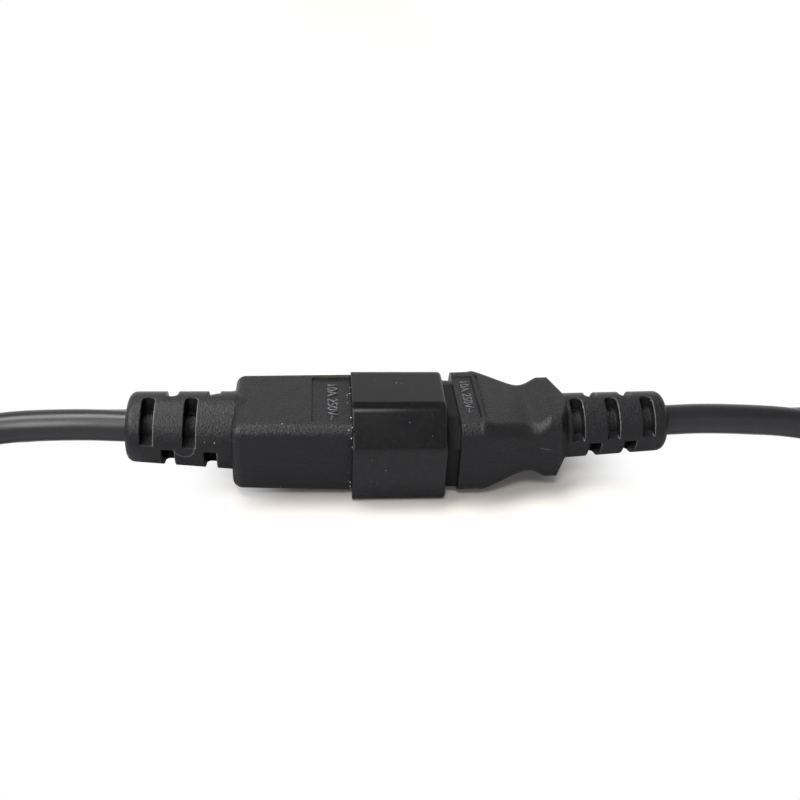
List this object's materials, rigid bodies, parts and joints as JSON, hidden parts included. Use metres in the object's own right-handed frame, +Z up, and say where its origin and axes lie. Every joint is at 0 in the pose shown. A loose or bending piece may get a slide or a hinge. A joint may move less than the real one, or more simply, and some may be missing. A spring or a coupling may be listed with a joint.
{
  "type": "iec extension cable",
  "caption": "Short mains extension lead, its shrouded appliance plug pushed into its own waisted connector, with slotted strain reliefs and a round cord looped behind.",
  "frame": {"origin": "middle of the flat underside of the plug's shroud, on which the lead lies", "axes": "+X along the two mated ends from the plug to the connector, +Z up, +Y to the side where the cord runs back"},
  "size_m": [0.3265, 0.0581, 0.0206],
  "materials": {
    "moulded_pvc": "fine spark-eroded grain, matte black",
    "gloss_shell": "smooth moulded, glossy black",
    "insert_plastic": "smooth moulded, satin black",
    "cord_sheath": "extruded, semi-gloss black",
    "contact_brass": "stamped and folded, bright",
    "core_line": "extruded, brown",
    "core_neutral": "extruded, blue",
    "core_earth": "extruded, green and yellow"
  },
  "bodies": {
    "root": {"connector_contact_earth": "contact_brass", "connector_contact_line": "contact_brass", "connector_contact_neutral": "contact_brass", "connector_core_earth": "core_earth", "connector_core_line": "core_line", "connector_core_neutral": "core_neutral", "connector_insert": "insert_plastic", "connector_overmould": "moulded_pvc", "cord": "cord_sheath", "plug_core_earth": "core_earth", "plug_core_line": "core_line", "plug_core_neutral": "core_neutral", "plug_overmould": "moulded_pvc", "plug_pin_earth": "contact_brass", "plug_pin_line": "contact_brass", "plug_pin_neutral": "contact_brass", "plug_shroud": "gloss_shell"}
  },
  "joints": []
}
